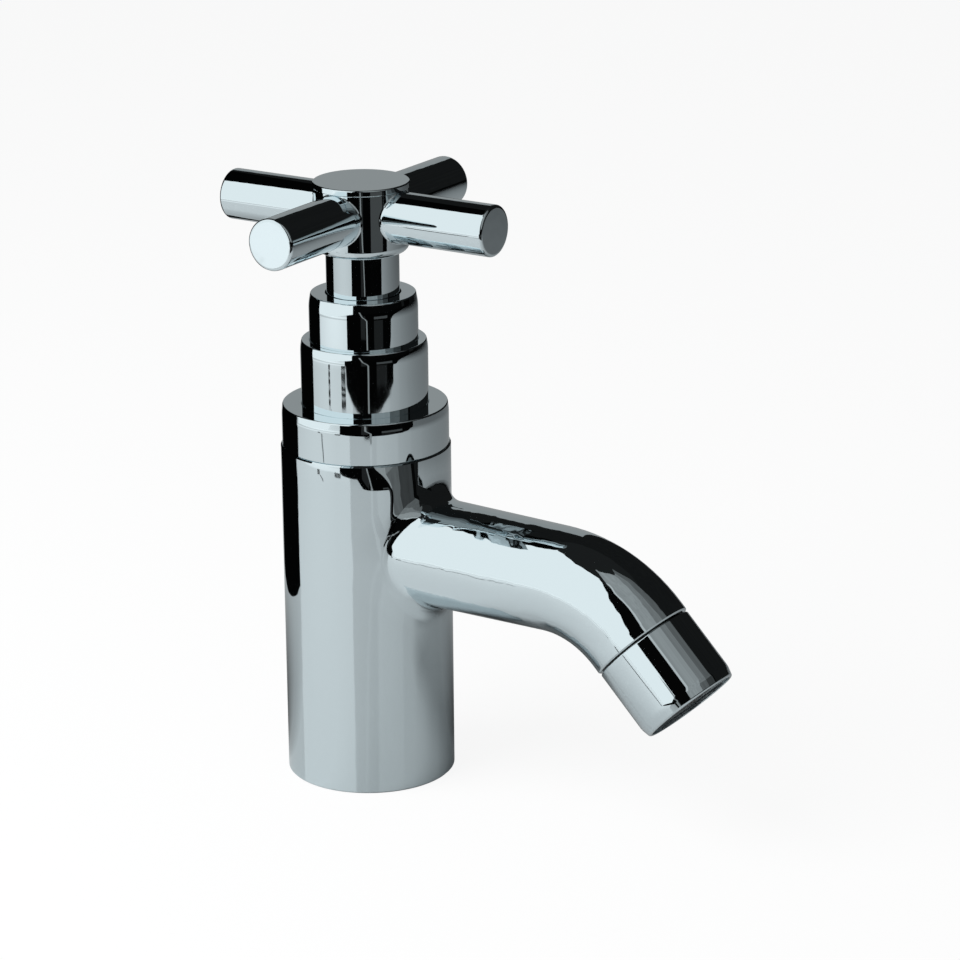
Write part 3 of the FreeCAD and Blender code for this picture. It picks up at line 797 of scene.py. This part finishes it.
# %% Grey cloth
CLOTH_REACH = 1.7
FOOT_REACH = 1.65
HEM_REACH = 1.6
CLOTH_FOLDS = 0.3
CLOTH_LEFT = [(18, 8), (11, 20), (8, 33), (4, 45), (-3, 55), (-8, 65), (-10, 77)]
CLOTH_STEP = [(47, 8), (47, 20), (47, 33), (48, 45), (50, 55), (52, 65), (56, 77)]
CLOTH_FADE = [(66, 8), (66, 20), (66, 33), (68, 45), (70, 55), (74, 65), (78, 77)]
CLOTH_RIGHT = [(85, 8), (85, 20), (85, 33), (89, 45), (91, 55), (95, 65), (99, 77)]
for name, one, other, level in [("bright", CLOTH_LEFT, CLOTH_STEP, 0.315),
                                ("middle", CLOTH_STEP, CLOTH_FADE, 0.20),
                                ("dim", CLOTH_FADE, CLOTH_RIGHT, 0.115)]:
    board("grey_cloth_" + name, [[skyward(*a, CLOTH_REACH), skyward(*b, CLOTH_REACH)]
                                 for a, b in zip(one, other)],
          tone("grey_cloth_" + name, level, CLOTH_FOLDS))
for name, start, end, level in [("middle", 47, 66, 0.12), ("dim", 66, 85, 0.045)]:
    board("grey_cloth_low_" + name, [[skyward(start, e, FOOT_REACH), skyward(end, e, FOOT_REACH)]
                                     for e in (8, 27)],
          tone("grey_cloth_low_" + name, level, CLOTH_FOLDS))
board("grey_cloth_hem", [[skyward(a - 0.5, e, HEM_REACH), skyward(a + 5, e, HEM_REACH)]
                         for a, e in CLOTH_LEFT[1:6]], tone("grey_cloth_hem", 0.55))
print("the cloth hangs between", CLOTH_LEFT[0][0], "and", CLOTH_RIGHT[0][0], "degrees")

# %% Joint and marks on the table
ON_TABLE = 0.001
JOINT = [(-56.6, 0.297), (-57.5, 0.31), (-61, 0.345)]
board("table_joint", [[around(a + w, d, ON_TABLE) for a, d in JOINT] for w in (-0.7, 0.7)],
      tone("table_joint", 0.2))

MARK_START = 0.351
MARK_STEP = 0.0115
MARK_LENGTH = 0.008
for side, middle, half in (("left", -63.5, 1.8), ("right", -36, 4.0)):
    for i in range(5):
        start = MARK_START + MARK_STEP * i
        rows = [[around(middle + w, d, ON_TABLE) for d in (start, start + MARK_LENGTH)]
                for w in (-half, half)]
        board("%s_mark_%d" % (side, i + 1), rows, black_card)

# %% [markdown]
# The floor is one sheet. The camera sees it nearly white, with the tap's own
# soft shadow kept by a share of matt paper. In the chrome it shows as a slightly glossy
# table whose colour carries painted light and shade. In front of the white board its
# painted light goes by the distance from the tap. On the other side it is painted darker
# with the turn away from the board. Close behind the tap and on its left it carries a painted
# shadow of the tap.

# %% Floor
floor_material, finish = new_finish("floor")
seen = Wire(finish, finish.add("ShaderNodeLightPath").socket.node.outputs["Is Camera Ray"])
x, y, z = finish.place().split()
distance = finish.from_axis()[0]


def towards(azimuth):
    """How much a point of the floor lies in one direction, from -1 to 1."""
    way = facing(VIEW_AZIMUTH + azimuth, 0)
    return (x * way.x + y * way.y) / distance


# Grey levels by distance from the tap: painted light from the white board on the table.
PAINTED_BOARD_LIGHT = [(0.0, 0.65), (0.40, 0.405), (0.42, 0.56), (0.475, 0.56), (0.50, 0.34), (0.56, 0.34),
               (0.60, 0.60)]
FLOOR_GLOSS = 0.12
PAPER_SHARE = 0.10

# The table's colour paints light and shade: light from the board on the left, darker with the turn
# away from it, and the tap's shadow behind and on the left.
near_board = (towards(-75) * 1.5 - 0.2).clamped()
stops = [(place, (level, level, level)) for place, level in PAINTED_BOARD_LIGHT]
left_side = finish.add("ShaderNodeValToRGB", {"stops": stops}, distance)
far_side = distance.maths("MINIMUM", 1 + 0.6 * distance, 1.3)
turned_away = (0.94 - 0.12 * distance + 0.9 * distance * towards(-20)).clamped()
right_side = 0.52 * far_side * turned_away
shade_behind = towards(178).ramp(0.35, 0.75) * distance.ramp(0.156, 0.036)
shade_left = towards(-125).ramp(0.85, 0.97) * distance.ramp(0.18, 0.08)
shaded = (1 - 0.8 * shade_behind) * (1 - 0.3 * shade_left)
painted_light_and_shade = (near_board * left_side + (1 - near_board) * right_side) * shaded
table = finish.add("ShaderNodeBsdfPrincipled", None, Roughness=FLOOR_GLOSS,
                   Base_Color=finish.blend(painted_light_and_shade, (0, 0, 0), (0.985, 1, 1)))
paper = finish.add("ShaderNodeBsdfDiffuse", None, (0.9, 0.9, 0.9, 1))
white = finish.add("ShaderNodeEmission", None, (1, 1, 1, 1), 1.0)
shown = finish.add("ShaderNodeMixShader", None, PAPER_SHARE, white, paper)
finish.finish(finish.add("ShaderNodeMixShader", None, seen, table, shown))
mesh = bpy.data.meshes.new("floor")
mesh.from_pydata([(-6, -6, 0), (6, -6, 0), (6, 6, 0), (-6, 6, 0)], [], [(0, 1, 2, 3)])
mesh.materials.append(floor_material)
floor = bpy.data.objects.new("floor", mesh)
bpy.context.scene.collection.objects.link(floor)
print("floor laid")

# %% Light
world = bpy.data.worlds.new("studio")
bpy.context.scene.world = world
finish = Finish(world)
paths = finish.add("ShaderNodeLightPath").socket.node.outputs
camera_ray, glossy_ray, transmission_ray = [
    Wire(finish, paths["Is %s Ray" % kind]) for kind in ("Camera", "Glossy", "Transmission")]
seen = camera_ray + glossy_ray + transmission_ray
fill = finish.add("ShaderNodeBackground", None, (0.95, 0.98, 1, 1), 0.35)
shown = finish.add("ShaderNodeBackground", None, (1, 1, 1, 1), 1.0)
finish.finish(finish.add("ShaderNodeMixShader", None, seen.clamped(), fill, shown))

key_light = bpy.data.lights.new("key_light", "AREA")
key_light.shape = "RECTANGLE"
key_light.size = 0.7
key_light.size_y = 0.8
key_light.energy = 9
lamp = bpy.data.objects.new("key_light", key_light)
bpy.context.scene.collection.objects.link(lamp)
lamp.location = around(-62, 0.62, 0.62)
lamp.rotation_mode = "QUATERNION"
lamp.rotation_quaternion = (Vector((0, 0, 0.05)) - lamp.location).to_track_quat("-Z", "Y")
lamp.visible_glossy = False
lamp.visible_camera = False
bpy.context.scene.view_settings.view_transform = "Standard"
print("one soft key light and the white surroundings")
